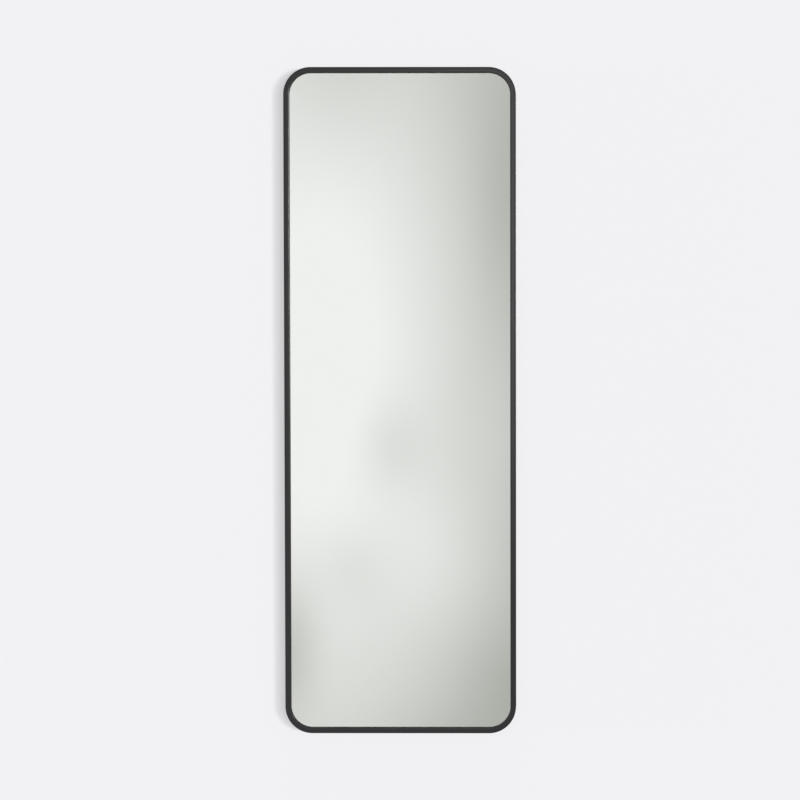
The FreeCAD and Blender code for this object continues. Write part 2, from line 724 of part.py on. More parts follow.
# D-ring: round wire bent to a closed loop, its straight bar in the eye of the strap
def hanger_ring(side, x):
    body = new_body(f"hanger_ring_{side}")
    half_bar = "((sizes.ring_inner_width + sizes.ring_wire) / 2)"
    path = new_sketch(body, "XZ_Plane", "wire_path")
    loop = [
        ("y", "0"),
        ("x", half_bar),
        ("y", "sizes.ring_height"),
        ("x", f"-{half_bar}"),
        ("y", "0"),
    ]
    bends = {
        0: "sizes.ring_corner_radius",
        1: "sizes.ring_bend_radius",
        2: "sizes.ring_bend_radius",
        3: "sizes.ring_corner_radius",
    }
    outline(path, loop, bends, ends=("0", "0"))
    section = new_sketch(body, "YZ_Plane", "wire_section")
    circle(section, "0", "0", "sizes.ring_wire / 2")
    sweep(body, section, path)
    place(body, x=x, y=depth(BAR_DEPTH), z=HANGER_Z)
    return body


# Rubber bumpers on the rear flange, near the four corners
def wall_bumper(name, x, z):
    body = new_body(f"wall_bumper_{name}")
    shape = new_sketch(body, "XZ_Plane", "bumper")
    half_length = "(sizes.bumper_length / 2)"
    rectangle(shape, "(sizes.bumper_width / 2)", half_length, "sizes.bumper_corner_radius")
    pad(body, shape, "sizes.bumper_thickness")
    place(body, x=x, y=depth(RAIL_DEPTH), z=z)
    return body


nodes = [
    frame_rail(),
    splice_bar(),
    splice_screws(),
    lip_gasket(),
    mirror_glass(),
    silver_backing(),
    mounting_tape(),
    backing_board(),
    button_screws(),
    hanger_screws(),
]
BLOCK_X = "(sizes.frame_width * sizes.block_place_share)"
nodes += [setting_block("left", f"-{BLOCK_X}"), setting_block("right", BLOCK_X)]
nodes += [turn_button(*spot) for spot in BUTTONS]
for hanger_side, hanger_x in HANGERS:
    nodes.append(hanger_strap(hanger_side, hanger_x))
    nodes.append(hanger_ring(hanger_side, hanger_x))
BUMPER_X = f"({HALF_WIDTH} - {RIB_END} / 2)"
BUMPER_Z = f"({HALF_HEIGHT} - sizes.bumper_drop)"
for bumper_end, bumper_z in (("upper", BUMPER_Z), ("lower", f"-{BUMPER_Z}")):
    nodes.append(wall_bumper(f"left_{bumper_end}", f"-{BUMPER_X}", bumper_z))
    nodes.append(wall_bumper(f"right_{bumper_end}", BUMPER_X, bumper_z))

doc.recompute()
for thing in doc.Objects:
    if "Invalid" in thing.State or "Error" in thing.State:
        raise RuntimeError(f"{thing.Label} failed: {thing.State}")
for node in nodes:
    if node.Shape.isNull() or not node.Shape.isValid():
        raise RuntimeError(f"{node.Label} has no valid shape")

os.makedirs("parts", exist_ok=True)
for node in nodes:
    node.Shape.exportStep(f"parts/{node.Label}.step")
    print(node.Label, len(node.Shape.Solids), round(node.Shape.Volume), "mm3")
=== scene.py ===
# %% [markdown]
# # A tall wall mirror in a bent black rail
#
# The real mirror is a sheet of silvered glass in one length of aluminium rail, bent round four corners and
# coated satin black. Behind the glass a fibreboard panel carries the turn buttons that lock it in the rail
# and the two hangers. The CAD model gives the construction. This lesson gives it its looks: it models again
# the pieces whose form shows, makes a finish for every piece, and sets up the wall, the light and the camera.

# %% [markdown]
# ## The frame
# The packed CAD model comes in as a fixed frame in metres: X to the right, Z up, and the wall at Y = 0 behind
# the mirror.

# %% Load the frame
import json
import math
import random

import bmesh
import bpy
from mathutils import Matrix, Vector


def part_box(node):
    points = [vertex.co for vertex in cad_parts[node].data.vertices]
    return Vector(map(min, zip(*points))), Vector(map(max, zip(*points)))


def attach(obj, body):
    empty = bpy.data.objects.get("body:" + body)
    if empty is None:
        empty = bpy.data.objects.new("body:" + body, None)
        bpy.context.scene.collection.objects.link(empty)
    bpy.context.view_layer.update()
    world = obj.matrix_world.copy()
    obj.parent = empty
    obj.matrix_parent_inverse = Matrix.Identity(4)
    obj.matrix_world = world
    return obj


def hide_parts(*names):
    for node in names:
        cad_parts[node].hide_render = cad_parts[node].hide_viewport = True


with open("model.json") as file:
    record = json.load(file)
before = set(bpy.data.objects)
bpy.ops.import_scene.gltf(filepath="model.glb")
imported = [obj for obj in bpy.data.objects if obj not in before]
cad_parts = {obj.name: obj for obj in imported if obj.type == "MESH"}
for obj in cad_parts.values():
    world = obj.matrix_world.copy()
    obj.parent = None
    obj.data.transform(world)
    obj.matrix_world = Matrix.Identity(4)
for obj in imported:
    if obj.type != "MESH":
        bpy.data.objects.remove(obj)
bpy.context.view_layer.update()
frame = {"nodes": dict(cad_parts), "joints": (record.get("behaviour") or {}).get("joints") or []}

# %% [markdown]
# ## The workbench
# Every new piece is modelled as by hand: a primitive is added where the piece goes, edit mode opens, and
# faces or edges are picked by their place and then extruded, bevelled or spun. Small helpers open a piece,
# pick from it and close it again. Everything is deselected first, because an operator acts on all that is
# selected, and the CAD nodes come in selected.

# %% Open a piece
MM = 0.001


def clear_bench():
    """Leaves edit mode and deselects everything."""
    if bpy.context.mode != "OBJECT":
        bpy.ops.object.mode_set(mode="OBJECT")
    bpy.ops.object.select_all(action="DESELECT")


def take_up(piece):
    """Makes one piece the selected and active one."""
    clear_bench()
    piece.select_set(True)
    bpy.context.view_layer.objects.active = piece


def begin(name, add_primitive, **settings):
    """Adds a primitive at its place, settles that place in its mesh, and opens it in edit mode."""
    clear_bench()
    add_primitive(**settings)
    bpy.ops.object.transform_apply(location=True, rotation=True, scale=True)
    piece = bpy.context.object
    piece.name = name
    piece.data.name = name
    bpy.ops.object.mode_set(mode="EDIT")
    return piece


clear_bench()
print("bench clear,", len(bpy.context.selected_objects), "objects selected")

# %% Pick from it and close it
TINY = 1e-6
PICK_MODES = {"verts": "VERT", "edges": "EDGE", "faces": "FACE"}
USUAL_SMOOTH = 35


def pick(kind, wanted):
    """Selects the vertices, edges or faces of the open piece that a test accepts."""
    mesh = bpy.context.edit_object.data
    bpy.ops.mesh.select_mode(type=PICK_MODES[kind])
    bpy.ops.mesh.select_all(action="DESELECT")
    shape = bmesh.from_edit_mesh(mesh)
    for item in getattr(shape, kind):
        if wanted(item):
            item.select_set(True)
    shape.select_flush_mode()
    bmesh.update_edit_mesh(mesh)


def smooth(degrees):
    """Shades the active piece smooth across edges that turn less than this."""
    bpy.ops.object.shade_smooth_by_angle(angle=math.radians(degrees))


def close(smooth_degrees=USUAL_SMOOTH):
    """Merges what meets, turns the faces outwards, and shades the piece smooth up to an angle."""
    bpy.ops.mesh.select_all(action="SELECT")
    bpy.ops.mesh.remove_doubles(threshold=TINY)
    bpy.ops.mesh.normals_make_consistent(inside=False)
    bpy.ops.object.mode_set(mode="OBJECT")
    smooth(smooth_degrees)
    piece = bpy.context.object
    size = [round(side / MM, 2) for side in piece.dimensions]
    print(piece.name, len(piece.data.polygons), "faces, size in mm", *size)
    return piece


print("points nearer than", TINY / MM, "mm are merged")

# %% [markdown]
# ## Writing shader sums
# A finish is a tree of shader nodes. One small class wraps a socket, so that a sum such as 1 - mask * 0.2 in
# Python adds the Math nodes for it, and one method adds any other kind of node. Patterns are read on Object
# coordinates, which are metres here, so a grain size is a real size.

# %% The socket class
class Shade:
    """One output of a shader tree, used in sums like a number."""

    def __init__(self, tree, socket=None):
        self.tree = tree
        self.socket = socket

    def node(self, kind, settings=None, inputs=None, output=0):
        """Adds a node: first its settings, then the value or the link of each input."""
        made = self.tree.nodes.new(f"ShaderNode{kind}")
        for name, value in (settings or {}).items():
            setattr(made, name, value)
        for name, value in (inputs or {}).items():
            self.feed(made.inputs[name], value)
        return Shade(self.tree, made.outputs[output])

    def feed(self, socket, value):
        """Links a shade to a socket, or sets the socket to a plain value."""
        if isinstance(value, Shade):
            self.tree.links.new(value.socket, socket)
        else:
            socket.default_value = value

    def work_out(self, operation, first, second=0.0):
        """Adds a Math node for one or two values."""
        return self.node("Math", {"operation": operation}, {0: first, 1: second})

    def __add__(self, other):
        return self.work_out("ADD", self, other)

    def __radd__(self, other):
        return self.work_out("ADD", other, self)

    def __sub__(self, other):
        return self.work_out("SUBTRACT", self, other)

    def __rsub__(self, other):
        return self.work_out("SUBTRACT", other, self)

    def __mul__(self, other):
        return self.work_out("MULTIPLY", self, other)

    def __rmul__(self, other):
        return self.work_out("MULTIPLY", other, self)

    def __truediv__(self, other):
        return self.work_out("DIVIDE", self, other)

    def __rtruediv__(self, other):
        return self.work_out("DIVIDE", other, self)

    def __pow__(self, other):
        return self.work_out("POWER", self, other)

    def __rpow__(self, other):
        return self.work_out("POWER", other, self)

    def __abs__(self):
        return self.work_out("ABSOLUTE", self)

    def ramp(self, low, high):
        """0 below low, 1 above high, and smooth between them."""
        ends = {"From Min": low, "From Max": high, "Value": self}
        return self.node("MapRange", {"interpolation_type": "SMOOTHSTEP"}, ends)

    def blend(self, first, second):
        """One colour where the shade is 0, another where it is 1."""
        return self.node("Mix", {"data_type": "RGBA"}, {0: self, 6: first, 7: second}, output=2)

    def parts(self):
        """The X, Y and Z of a vector."""
        split = self.node("SeparateXYZ", None, {0: self}).socket.node
        return [Shade(self.tree, socket) for socket in split.outputs]

    def stretch(self, x, y, z):
        """A place whose axes are scaled, so that a pattern runs along the axis with the smallest number."""
        return self.node("VectorMath", {"operation": "MULTIPLY"}, {0: self, 1: (x, y, z)})

    def turn(self, degrees):
        """A place turned about Y, so that a pattern runs at a slant on the front and the back."""
        turned = {"Vector": self, "Angle": math.radians(degrees)}
        return self.node("VectorRotate", {"rotation_type": "Y_AXIS"}, turned)

    def noise(self, grain, detail=2.0):
        """Cloudy values about 0.5 at this place, with spots about one grain wide, in metres."""
        return self.node("TexNoise", None, {"Vector": self, "Scale": 1 / grain, "Detail": detail})

    def bump(self, depth):
        """A surface direction for a height of 0 to 1 that stands this deep, in metres."""
        return self.node("Bump", None, {"Distance": depth, "Height": self})


print("a shade can", *(name for name in vars(Shade) if not name.startswith("_")))

# %% Start a finish
def new_finish(name, constants):
    """An empty finish with its constants set: the material, its shader and the place on the piece."""
    finish = bpy.data.materials.new(name)
    finish.use_nodes = True
    shader = finish.node_tree.nodes["Principled BSDF"]
    for socket, value in constants.items():
        shader.inputs[socket].default_value = value
    place = Shade(finish.node_tree).node("TexCoord", output="Object")
    return finish, shader, place


def sides_of(place, low, high):
    """1 on the edges of an upright sheet and 0 on its front and back, by the way the surface faces."""
    facing = place.node("TexCoord", output="Normal")
    return 1 - abs(facing.parts()[1]).ramp(low, high)


def lay(place, shader, layers):
    """Links the layers of a finish to the shader's sockets."""
    for socket, shade in layers.items():
        place.feed(shader.inputs[socket], shade)


print("ready to mix finishes,", len(bpy.data.materials), "materials came with the frame")

# %% [markdown]
# ## Satin black coat
# The rail is powder coated: a thin skin of black plastic, baked on. It has no grain, but it isn't glass
# smooth either. Close up it shows a shallow orange peel about a millimetre and a half across, which is what
# breaks up the reflections and makes the black satin. A faint cloud and a fine dust keep its tone and its
# gloss from being the same all over.

# %% Mix the black coat
COAT_TONES = (0.0105, 0.0105, 0.012, 1), (0.015, 0.015, 0.017, 1)
PEEL_DEPTH = 0.003 * MM


def mix_black_coat():
    finish, shader, place = new_finish("satin_black_coat", {"IOR": 1.5})
    cloud = place.noise(90 * MM, detail=3)
    peel = place.noise(1.6 * MM, detail=1)
    dust = place.noise(0.35 * MM, detail=1)
    layers = {
        "Base Color": cloud.blend(*COAT_TONES),
        "Roughness": 0.24 + 0.08 * cloud + 0.04 * dust,
        "Normal": (0.9 * peel + 0.1 * dust).bump(PEEL_DEPTH),
    }
    lay(place, shader, layers)
    return finish


black_coat = mix_black_coat()
print(black_coat.name)

# %% [markdown]
# ## Glass and silver
# The glass is ordinary 4 mm float glass: clear, with a trace of green, polished on its faces and ground dull
# on its edges. Which is which is read from the direction that the surface faces. The silver behind it is a
# film of metal under paint. It is all but perfect, so it only gets a trace of variation.

# %% Mix the glass
CLEAR_GLASS = (0.985, 0.992, 0.982, 1)
GROUND_GLASS = (0.62, 0.8, 0.7, 1)
GRIT_DEPTH = 0.04 * MM


def mix_glass():
    finish, shader, place = new_finish("float_glass", {"IOR": 1.52, "Transmission Weight": 1.0})
    ground = sides_of(place, 0.8, 0.98)
    grit = place.noise(0.4 * MM)
    layers = {
        "Base Color": ground.blend(CLEAR_GLASS, GROUND_GLASS),
        "Roughness": ground * (0.35 + 0.3 * grit),
        "Normal": (ground * grit).bump(GRIT_DEPTH),
    }
    lay(place, shader, layers)
    return finish


float_glass = mix_glass()
print(float_glass.name)

# %% Mix the silver and its paint
SILVER_TONES = (0.938, 0.944, 0.928, 1), (0.946, 0.95, 0.938, 1)
PAINT_TONES = (0.2, 0.215, 0.22, 1), (0.26, 0.275, 0.28, 1)
WEAVE_DEPTH = 0.04 * MM


def mix_silver():
    finish, shader, place = new_finish("mirror_silver", {"Metallic": 1.0})
    cloud = place.noise(150 * MM)
    layers = {
        "Base Color": cloud.blend(*SILVER_TONES),
        "Roughness": 0.012 * cloud.ramp(0.4, 0.7),
    }
    lay(place, shader, layers)
    return finish


def mix_film_paint():
    finish, shader, place = new_finish("film_paint", {"IOR": 1.5})
    cloud = place.noise(50 * MM, detail=4)
    weave = place.noise(1.5 * MM, detail=1)
    layers = {
        "Base Color": cloud.blend(*PAINT_TONES),
        "Roughness": 0.38 + 0.15 * cloud,
        "Normal": weave.bump(WEAVE_DEPTH),
    }
    lay(place, shader, layers)
    return finish


silver = mix_silver()
film_paint = mix_film_paint()
print(silver.name, film_paint.name)

# %% [markdown]
# ## Fibreboard
# The back panel is pressed wood fibre, brown and matt. From a step away it is mottled in soft patches as big
# as a hand. Closer, fine fibres run every way, a few of them pale and a few dark like bark. Its sawn edges
# are rougher and darker than its faces, and again the direction of the surface tells them apart.

# %% Mix the fibreboard
BOARD_TONES = (0.285, 0.178, 0.096, 1), (0.43, 0.29, 0.172, 1)
PALE_FIBRE = (0.53, 0.39, 0.245, 1)
BARK = (0.12, 0.07, 0.038, 1)
SAWN_EDGE = (0.16, 0.095, 0.05, 1)
FIBRE_WAYS = [8, 41, 67, 103, 139, 164]
FIBRE_WIDTH = 0.8 * MM
FIBRE_STRETCH = (0.14, 1, 1)
FUZZ_DEPTH = 0.12 * MM


def lay_fibres(place, degrees):
    """Long thin fibres that run at a slant."""
    return place.turn(degrees).stretch(*FIBRE_STRETCH).noise(FIBRE_WIDTH, detail=3)


def mix_fibreboard():
    finish, shader, place = new_finish("pressed_fibreboard", {"IOR": 1.45})
    sawn = sides_of(place, 0.5, 0.9)
    patches = place.noise(140 * MM, detail=4)
    mottle = place.noise(6 * MM, detail=4)
    fibre_sets = [lay_fibres(place, degrees) for degrees in FIBRE_WAYS]
    pale = sum(fibres.ramp(0.6, 0.75) for fibres in fibre_sets).ramp(0, 1)
    bark = place.stretch(0.4, 1, 0.4).noise(1.4 * MM).ramp(0.68, 0.76)
    tone = 0.6 * patches + 0.4 * mottle
    board = tone.ramp(0.3, 0.7).blend(*BOARD_TONES)
    felted = (0.4 * pale).blend(board, PALE_FIBRE)
    flecks = (0.6 * bark).blend(felted, BARK)
    fuzz = 0.5 * mottle + 0.12 * sum(fibre_sets)
    layers = {
        "Base Color": (0.45 * sawn).blend(flecks, SAWN_EDGE),
        "Roughness": 0.66 + 0.2 * mottle + 0.1 * sawn,
        "Normal": fuzz.bump(FUZZ_DEPTH),
    }
    lay(place, shader, layers)
    return finish


fibreboard = mix_fibreboard()
print(fibreboard.name, "with fibres in", len(FIBRE_WAYS), "directions")

# %% [markdown]
# ## Plated, blackened and plain metal
# The hangers, buttons and screws are zinc plated: a bright, slightly bluish grey with a haze of yellow where
# the plating bath left it thicker. The splice bar is aluminium as it leaves the press, streaked along its
# length. The grub screws are blackened steel.

# %% Mix the zinc plate
ZINC_TONES = (0.56, 0.575, 0.6, 1), (0.68, 0.685, 0.69, 1)
BATH_YELLOW = (0.7, 0.64, 0.5, 1)
STAMP_DEPTH = 0.012 * MM


def mix_zinc():
    finish, shader, place = new_finish("zinc_plate", {"Metallic": 1.0})
    bath = place.noise(8 * MM, detail=3)
    haze = place.noise(2.2 * MM, detail=3)
    stamp = place.noise(0.5 * MM)
    plate = haze.ramp(0.3, 0.7).blend(*ZINC_TONES)
    layers = {
        "Base Color": (0.3 * bath.ramp(0.5, 0.75)).blend(plate, BATH_YELLOW),
        "Roughness": 0.27 + 0.2 * haze,
        "Normal": (0.5 * haze + 0.5 * stamp).bump(STAMP_DEPTH),
    }
    lay(place, shader, layers)
    return finish


zinc_plate = mix_zinc()
print(zinc_plate.name)

# %% Mix the aluminium and the black steel
MILL_TONES = (0.62, 0.62, 0.63, 1), (0.77, 0.77, 0.775, 1)
STREAK_STRETCH = (0.02, 1, 1)
STREAK_DEPTH = 0.02 * MM
BLACK_STEEL_TONES = (0.035, 0.035, 0.038, 1), (0.075, 0.075, 0.083, 1)
BLAST_DEPTH = 0.01 * MM


def mix_mill_aluminium():
    finish, shader, place = new_finish("pressed_aluminium", {"Metallic": 1.0})
    streaks = place.stretch(*STREAK_STRETCH).noise(0.7 * MM, detail=3)
    cloud = place.noise(10 * MM)
    layers = {
        "Base Color": streaks.ramp(0.25, 0.75).blend(*MILL_TONES),
        "Roughness": 0.26 + 0.16 * streaks + 0.06 * cloud,
        "Normal": streaks.bump(STREAK_DEPTH),
    }
    lay(place, shader, layers)
    return finish


def mix_black_steel():
    finish, shader, place = new_finish("blackened_steel", {"Metallic": 1.0})
    oil = place.noise(1.6 * MM, detail=3)
    layers = {
        "Base Color": oil.blend(*BLACK_STEEL_TONES),
        "Roughness": 0.32 + 0.25 * oil,
        "Normal": place.noise(0.3 * MM).bump(BLAST_DEPTH),
    }
    lay(place, shader, layers)
    return finish


mill_aluminium = mix_mill_aluminium()
black_steel = mix_black_steel()
print(mill_aluminium.name, black_steel.name)

# %% [markdown]
# ## Rubber and foam
# Bumpers and setting blocks are black rubber, with a fine skin and a grey bloom in places. The seal under the
# lip and the mounting tape are black closed-cell foam, whose small cells show as pits, painted darker as
# shade.

# %% Mix the rubber and the foam
RUBBER_TONES = (0.021, 0.021, 0.022, 1), (0.05, 0.05, 0.052, 1)
SKIN_DEPTH = 0.05 * MM
FOAM_TONE_AND_PIT_SHADE = (0.03, 0.03, 0.03, 1), (0.012, 0.012, 0.012, 1)
FOAM_CELL = 0.6 * MM
CELL_DEPTH = 0.1 * MM


def mix_rubber():
    finish, shader, place = new_finish("black_rubber", {"IOR": 1.5})
    bloom = place.noise(5 * MM, detail=4)
    skin = place.noise(0.5 * MM)
    layers = {
        "Base Color": bloom.ramp(0.45, 0.8).blend(*RUBBER_TONES),
        "Roughness": 0.62 + 0.2 * bloom,
        "Normal": skin.bump(SKIN_DEPTH),
    }
    lay(place, shader, layers)
    return finish


def mix_foam():
    finish, shader, place = new_finish("closed_cell_foam", {"IOR": 1.4})
    cells = place.node("TexVoronoi", None, {"Vector": place, "Scale": 1 / FOAM_CELL})
    cloud = place.noise(20 * MM)
    layers = {
        # The colour is painted darker where the bump is low between the cells: painted shade in the pits.
        "Base Color": (0.7 * cells + 0.3 * cloud).blend(*FOAM_TONE_AND_PIT_SHADE),
        "Roughness": 0.8 + 0.15 * cells,
        "Normal": (1 - cells).bump(CELL_DEPTH),
    }
    lay(place, shader, layers)
    return finish


rubber = mix_rubber()
foam = mix_foam()
print(rubber.name, foam.name)

# %% [markdown]
# ## Handing a piece over
# A finished piece needs three things: its finish, the CAD body that it moves with, and the CAD node that it
# stands for, which is hidden. One helper does them together.

# %% Hand a piece over
def hand_over(piece, node, slot, body, *finishes):
    """Gives a piece its finishes and puts it in the place of a CAD node."""
    piece.data.materials.clear()
    for finish in finishes:
        piece.data.materials.append(finish)
    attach(piece, body)
    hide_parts(node)


# %% [markdown]
# ## The bent rail
# The real rail is an extrusion: its section is pressed out as one long bar, with a lip in front of the glass,
# a thin side wall and a channel with two lips at the back, and the bar is then bent round four corners until
# its ends meet below. A curve with a bevel profile would be quick, but here the section is drawn as the die
# has it: one point is extruded round the outline, filled, and its corners rounded. Then that face takes the
# same way as the bar did, straight runs by extrude and corners by spin.

# %% Set out the section
SEAM_GAP = 0.2 * MM
FACE_WIDTH = 13.5 * MM
LIP = 3.6 * MM
SIDE_WALL = 1.6 * MM
RIB = 1.4 * MM
CHANNEL_WIDTH = 6 * MM
CHANNEL_DEPTH = 3.6 * MM
CHANNEL_LIP = 1.2 * MM

rail_low, rail_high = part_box("frame_rail")
rail_depth = rail_high.y - rail_low.y
flange = rail_depth - RIB
rib_back = flange - CHANNEL_WIDTH
rib_front = rib_back - RIB
mouth = SIDE_WALL + CHANNEL_DEPTH
rib_end = mouth + CHANNEL_LIP
OUTER_CORNER = (0, 0)
NOSE_CORNER = (0, FACE_WIDTH)
OUTLINE = [
    OUTER_CORNER,
    NOSE_CORNER,
    (LIP, FACE_WIDTH),
    (LIP, SIDE_WALL),
    (rib_front, SIDE_WALL),
    (rib_front, rib_end),
    (rib_back + CHANNEL_LIP, rib_end),
    (rib_back + CHANNEL_LIP, mouth),
    (rib_back, mouth),
    (rib_back, SIDE_WALL),
    (flange, SIDE_WALL),
    (flange, mouth),
    (flange - CHANNEL_LIP, mouth),
    (flange - CHANNEL_LIP, rib_end),
    (rail_depth, rib_end),
    (rail_depth, 0),
]
print("section of", len(OUTLINE), "corners,", round(rail_depth / MM, 2), "mm deep")

# %% Draw the section
NOSE_RADIUS = 3.2 * MM
OUTER_RADIUS = 0.4 * MM
DIE_RADIUS = 0.25 * MM
NOSE_STEPS = 10
EDGE_STEPS = 4
DIE_STEPS = 2


def on_section(depth, inset):
    """A point of the section, by its depth behind the front face and its distance from the outside."""
    return Vector((SEAM_GAP / 2, rail_low.y + depth, rail_low.z + inset))


def push(step):
    """Extrudes what is selected."""
    bpy.ops.mesh.extrude_region_move(TRANSFORM_OT_translate={"value": step})


def round_corners(corners, radius, steps):
    """Rounds corners of the section, as the die does."""
    spots = [on_section(*corner) for corner in corners]
    pick("verts", lambda vert: any((vert.co - spot).length < TINY for spot in spots))
    bpy.ops.mesh.bevel(offset=radius, segments=steps, affect="VERTICES")


section = begin("rail", bpy.ops.mesh.primitive_plane_add, size=MM, location=on_section(*OUTLINE[0]))
bpy.ops.mesh.merge(type="CENTER")
for here, there in zip(OUTLINE, OUTLINE[1:]):
    push(on_section(*there) - on_section(*here))
bpy.ops.mesh.select_all(action="SELECT")
bpy.ops.mesh.edge_face_add()
round_corners([NOSE_CORNER], NOSE_RADIUS, NOSE_STEPS)
round_corners([OUTER_CORNER], OUTER_RADIUS, EDGE_STEPS)
round_corners(OUTLINE[2:], DIE_RADIUS, DIE_STEPS)
section.update_from_editmode()
print(len(section.data.vertices), "points round the section")

# %% Bend the bar round the mirror
CORNER_RADIUS = 65 * MM
BEND_STEPS = 40
RAIL_SMOOTH = 25


def bend(x, y, z, steps):
    """Spins what is selected a quarter turn about a line along Y, as seen from the front anticlockwise."""
    middle = (x, y, z)
    bpy.ops.mesh.spin(steps=steps, angle=math.pi / 2, center=middle, axis=(0, 1, 0), use_auto_merge=False)


left_bend = rail_low.x + CORNER_RADIUS
right_bend = rail_high.x - CORNER_RADIUS
low_bend = rail_low.z + CORNER_RADIUS
top_bend = rail_high.z - CORNER_RADIUS
half_bottom = right_bend - SEAM_GAP / 2
upright_run = top_bend - low_bend
level_run = right_bend - left_bend
runs = [(half_bottom, 0, 0), (0, 0, upright_run), (-level_run, 0, 0), (0, 0, -upright_run)]
corners = [(right_bend, low_bend), (right_bend, top_bend), (left_bend, top_bend), (left_bend, low_bend)]
pick("faces", lambda face: True)
for run, (corner_x, corner_z) in zip(runs, corners):
    push(run)
    bend(corner_x, rail_low.y, corner_z, BEND_STEPS)
push((half_bottom, 0, 0))
rail = close(RAIL_SMOOTH)
hand_over(rail, "frame_rail", "black_coat", "mirror", black_coat)

# %% [markdown]
# ## The silver film
# Silver, paint and safety film are one thin sheet on the back of the glass. It starts as a block of that
# size, its four corner edges are bevelled to the corner of the glass, and its face towards the glass gets the
# silver while the rest gets the paint. It stays a hair's breadth behind the glass, because two faces in the
# very same place would flicker.

# %% Cut the film
FILM_GAP = 0.02 * MM
HALFWAY = 0.5
film_low, film_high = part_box("silver_backing")
film_low.y += FILM_GAP
film_corner = CORNER_RADIUS - (film_low.x - rail_low.x)


def begin_block(name, low, high):
    """A block between two corners, open in edit mode."""
    middle = (low + high) / 2
    return begin(name, bpy.ops.mesh.primitive_cube_add, size=1, location=middle, scale=high - low)


def runs_along(edge, axis):
    """Whether an edge runs straight along the X, Y or Z axis."""
    along = edge.verts[1].co - edge.verts[0].co
    return abs(abs(along["XYZ".index(axis)]) - along.length) < TINY


begin_block("silver_film", film_low, film_high)
pick("edges", lambda edge: runs_along(edge, "Y"))
bpy.ops.mesh.bevel(offset=film_corner, segments=BEND_STEPS, affect="EDGES")
film = close()
hand_over(film, "silver_backing", "silver", "mirror", silver, film_paint)
for face in film.data.polygons:
    face.material_index = 0 if face.normal.y < -HALFWAY else 1

# %% [markdown]
# ## The D-rings
# Each hanger ring is a length of round wire bent to a D and closed inside its strap. It is made as the wire
# is bent: a small circle is pushed along the straight parts and spun round the four bends, with the same two
# helpers as the rail. The start and the end then meet in the middle of the bar and are merged.

# %% Bend the rings
WIRE = 3 * MM
WIRE_SIDES = 24
WIRE_SMOOTH = 60
RING_CORNER = 3 * MM
RING_BEND = 9.5 * MM
RING_STEPS = 16
FACING_X = (0, math.pi / 2, 0)
joints = {joint["name"]: joint for joint in frame["joints"]}


def bend_ring(side):
    """A closed wire ring, its bar on the axis of its joint."""
    low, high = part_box(f"hanger_ring_{side}")
    bar = Vector(joints[f"ring_{side}_swing"]["pos_m"])
    half_bar = (high.x - low.x - WIRE) / 2
    height = high.z - low.z - WIRE
    top = bar.z + height
    wire_end = {"vertices": WIRE_SIDES, "radius": WIRE / 2, "location": bar, "rotation": FACING_X}
    begin(f"ring_{side}", bpy.ops.mesh.primitive_circle_add, **wire_end)
    straight = height - RING_CORNER - RING_BEND
    push((half_bar - RING_CORNER, 0, 0))
    bend(bar.x + half_bar - RING_CORNER, bar.y, bar.z + RING_CORNER, RING_STEPS)
    push((0, 0, straight))
    bend(bar.x + half_bar - RING_BEND, bar.y, top - RING_BEND, RING_STEPS)
    push((2 * (RING_BEND - half_bar), 0, 0))
    bend(bar.x - half_bar + RING_BEND, bar.y, top - RING_BEND, RING_STEPS)
    push((0, 0, -straight))
    bend(bar.x - half_bar + RING_CORNER, bar.y, bar.z + RING_CORNER, RING_STEPS)
    push((half_bar - RING_CORNER, 0, 0))
    return close(WIRE_SMOOTH)


for side in ("left", "right"):
    hand_over(bend_ring(side), f"hanger_ring_{side}", "zinc_steel", f"ring_{side}", zinc_plate)

# %% [markdown]
# ## The turn buttons
# A turn button is stamped from steel sheet: a plate with a rounded nose that goes under the rail's rib, a
# hole for its screw, and a tail turned up as a finger grip. The plate starts as a block. The nose is two
# bevelled edges, the tail is cut free by bisecting the end and extruded upwards, and the hole is cut by a
# rod. One button is made about its own pivot, and ten copies are turned outwards and set on their joints.

# %% Stamp the plate
BUTTON_SHEET = 1.2 * MM
BUTTON_WIDTH = 12 * MM
BUTTON_NOSE = 17.8 * MM
BUTTON_TAIL = 7 * MM
BUTTON_NOSE_RADIUS = 5 * MM
STAMP_STEPS = 8


def middle_of(edge):
    """The middle of an edge."""
    return (edge.verts[0].co + edge.verts[1].co) / 2


low_corner = Vector((-BUTTON_TAIL, 0, -BUTTON_WIDTH / 2))
high_corner = Vector((BUTTON_NOSE, BUTTON_SHEET, BUTTON_WIDTH / 2))
begin_block("turn_button", low_corner, high_corner)
pick("edges", lambda edge: runs_along(edge, "Y") and middle_of(edge).x > 0)
bpy.ops.mesh.bevel(offset=BUTTON_NOSE_RADIUS, segments=STAMP_STEPS, affect="EDGES")
print("plate", round((BUTTON_NOSE + BUTTON_TAIL) / MM, 1), "mm long and", BUTTON_WIDTH / MM, "mm wide")

# %% Turn up the tail
TAB_WIDTH = 9 * MM
TAB_HEIGHT = 5 * MM
TAB_BEND = 0.9 * MM
TAB_CORNER = 1.5 * MM
fold = BUTTON_SHEET - BUTTON_TAIL


def bisect(place, normal):
    """Cuts the selected faces along a plane and keeps both parts."""
    bpy.ops.mesh.bisect(plane_co=place, plane_no=normal)


def is_tab_top(face):
    """Whether a face is the part of the tail that is turned up."""
    spot = face.calc_center_median()
    return face.normal.y > HALFWAY and spot.x < fold and abs(spot.z) < TAB_WIDTH / 2


def is_bent_edge(edge):
    """Whether an edge is the outer corner between the plate and the tail."""
    spot = middle_of(edge)
    return runs_along(edge, "Z") and spot.y < TINY and spot.x < fold - TINY


